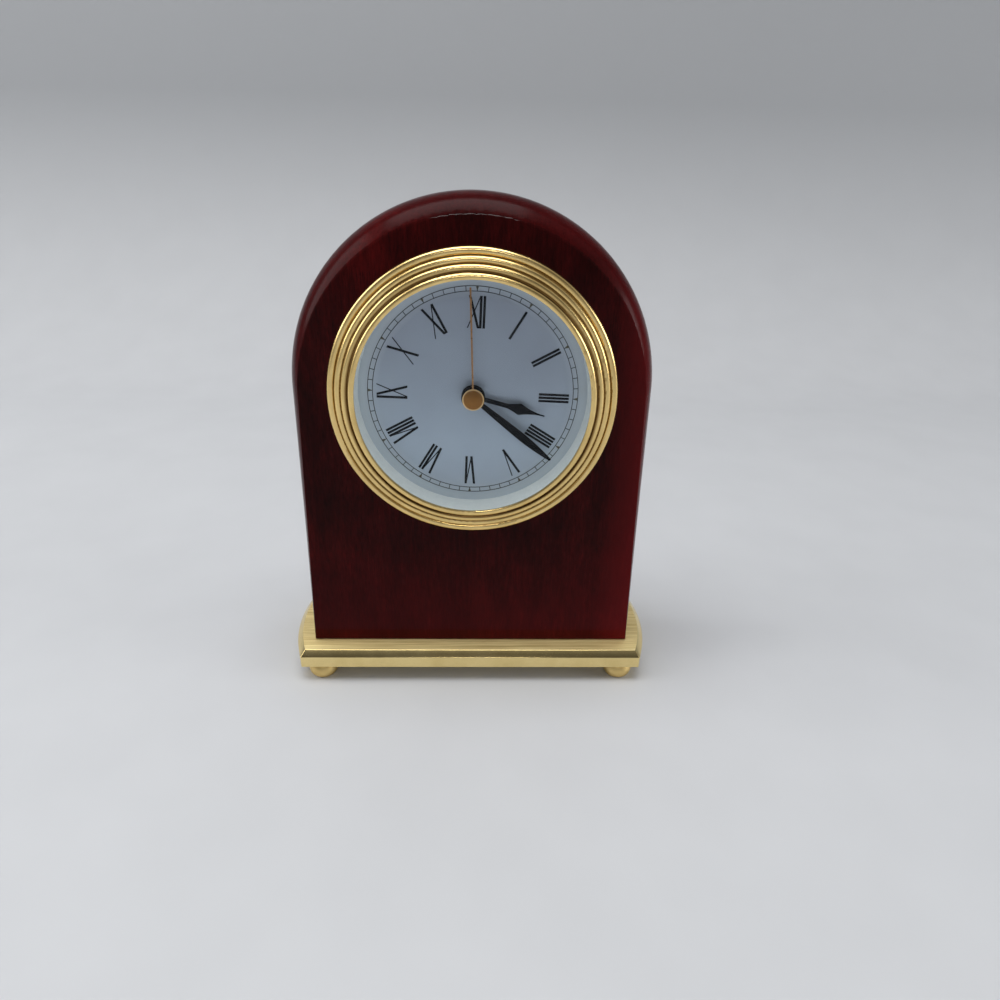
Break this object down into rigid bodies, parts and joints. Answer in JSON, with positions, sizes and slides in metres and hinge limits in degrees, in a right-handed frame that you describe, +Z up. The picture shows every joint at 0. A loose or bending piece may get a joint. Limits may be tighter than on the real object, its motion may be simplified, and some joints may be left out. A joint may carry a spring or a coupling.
{
  "type": "desk clock",
  "caption": "Arched wooden desk clock with a stepped brass bezel, glazed dial and hands, a quartz movement with a battery door behind, on a brass base plate with bun feet.",
  "frame": {"origin": "centre of the footprint on the desk, under the middle of the base plate", "axes": "+Z up; the dial faces -Y; +X to the right of a viewer who faces the dial"},
  "size_m": [0.1154, 0.0466, 0.1436],
  "materials": {
    "lacquered_wood": "high gloss lacquer",
    "satin_brass": "satin, fine brushed",
    "screw_steel": "plated",
    "clear_glass": "clear",
    "white_ring": "satin",
    "dial_white": "matt white enamel with dark print",
    "band_rubber": "matt",
    "black_plastic": "fine texture",
    "black_hands": "satin black",
    "gilt_hand": "polished",
    "gear_plastic": "moulded",
    "magnet": "plain",
    "iron_sheet": "plain",
    "copper_wire": "enamelled copper wire",
    "board": "solder mask",
    "chip": "moulded",
    "crystal_can": "drawn",
    "battery_jacket": "plain jacket",
    "contact_steel": "nickel plated"
  },
  "bodies": {
    "clock_frame": {"wood_case": "lacquered_wood", "base_plate": "satin_brass", "foot_front_left": "satin_brass", "foot_front_right": "satin_brass", "foot_rear_left": "satin_brass", "foot_rear_right": "satin_brass", "base_screw_left": "screw_steel", "base_screw_right": "screw_steel", "bezel": "satin_brass", "lens": "clear_glass", "reflector_ring": "white_ring", "dial": "dial_white", "insert_cup": "black_plastic", "friction_band": "band_rubber", "movement_front_plate": "black_plastic", "train_plate": "gear_plastic", "movement_rear_case": "black_plastic", "movement_screw_top": "screw_steel", "movement_screw_left": "screw_steel", "movement_screw_right": "screw_steel", "stator_plate": "iron_sheet", "coil_core": "iron_sheet", "coil_bobbin": "gear_plastic", "coil_winding": "copper_wire", "circuit_board": "board", "driver_chip": "chip", "quartz_crystal": "crystal_can", "battery": "battery_jacket", "battery_contact_plus": "contact_steel", "battery_contact_minus": "contact_steel"},
    "seconds": {"seconds_wheel": "gear_plastic", "second_hand": "gilt_hand", "second_hand_cap": "gilt_hand"},
    "intermediate": {"intermediate_wheel": "gear_plastic"},
    "motor_rotor": {"rotor": "magnet"},
    "third": {"third_wheel": "gear_plastic"},
    "centre": {"centre_wheel": "gear_plastic"},
    "minutes": {"minute_pipe": "gear_plastic", "minute_hand": "black_hands"},
    "motion": {"motion_wheel": "gear_plastic"},
    "hours": {"hour_wheel": "gear_plastic", "hour_hand": "black_hands"},
    "setting": {"setting_arbor": "gear_plastic", "setting_knob": "black_plastic"},
    "door": {"battery_door": "black_plastic"}
  },
  "joints": [
    {"name": "seconds_turn", "type": "hinge", "parent": "clock_frame", "child": "seconds", "pos_m": [0, -0.016, 0.0907], "axis": [0, 1, 0], "continuous": true},
    {"name": "intermediate_turn", "type": "hinge", "parent": "clock_frame", "child": "intermediate", "pos_m": [0.00594, -0.016, 0.09778], "axis": [0, 1, 0], "continuous": true},
    {"name": "rotor_turn", "type": "hinge", "parent": "clock_frame", "child": "motor_rotor", "pos_m": [0.00894, -0.016, 0.10297], "axis": [0, 1, 0], "continuous": true},
    {"name": "third_turn", "type": "hinge", "parent": "clock_frame", "child": "third", "pos_m": [-0.00779, -0.016, 0.0952], "axis": [0, 1, 0], "continuous": true},
    {"name": "centre_turn", "type": "hinge", "parent": "clock_frame", "child": "centre", "pos_m": [0, -0.016, 0.0907], "axis": [0, 1, 0], "continuous": true},
    {"name": "minutes_turn", "type": "hinge", "parent": "clock_frame", "child": "minutes", "pos_m": [0, -0.016, 0.0907], "axis": [0, 1, 0], "continuous": true},
    {"name": "motion_turn", "type": "hinge", "parent": "clock_frame", "child": "motion", "pos_m": [0.0052, -0.016, 0.0877], "axis": [0, 1, 0], "continuous": true},
    {"name": "hours_turn", "type": "hinge", "parent": "clock_frame", "child": "hours", "pos_m": [0, -0.016, 0.0907], "axis": [0, 1, 0], "continuous": true},
    {"name": "setting_turn", "type": "hinge", "parent": "clock_frame", "child": "setting", "pos_m": [0.01039, -0.016, 0.0847], "axis": [0, 1, 0], "continuous": true},
    {"name": "battery_door_swing", "type": "hinge", "parent": "clock_frame", "child": "door", "pos_m": [0, 0.0117, 0.06695], "axis": [-1, 0, 0], "range_deg": [0, 100]}
  ],
  "couplings": [
    {"joint": "intermediate_turn", "follows": "seconds_turn", "ratio": -6},
    {"joint": "rotor_turn", "follows": "seconds_turn", "ratio": 30},
    {"joint": "third_turn", "follows": "seconds_turn", "ratio": -0.13333},
    {"joint": "centre_turn", "follows": "seconds_turn", "ratio": 0.016667},
    {"joint": "motion_turn", "follows": "minutes_turn", "ratio": -0.33333},
    {"joint": "hours_turn", "follows": "minutes_turn", "ratio": 0.083333},
    {"joint": "setting_turn", "follows": "minutes_turn", "ratio": 1}
  ]
}
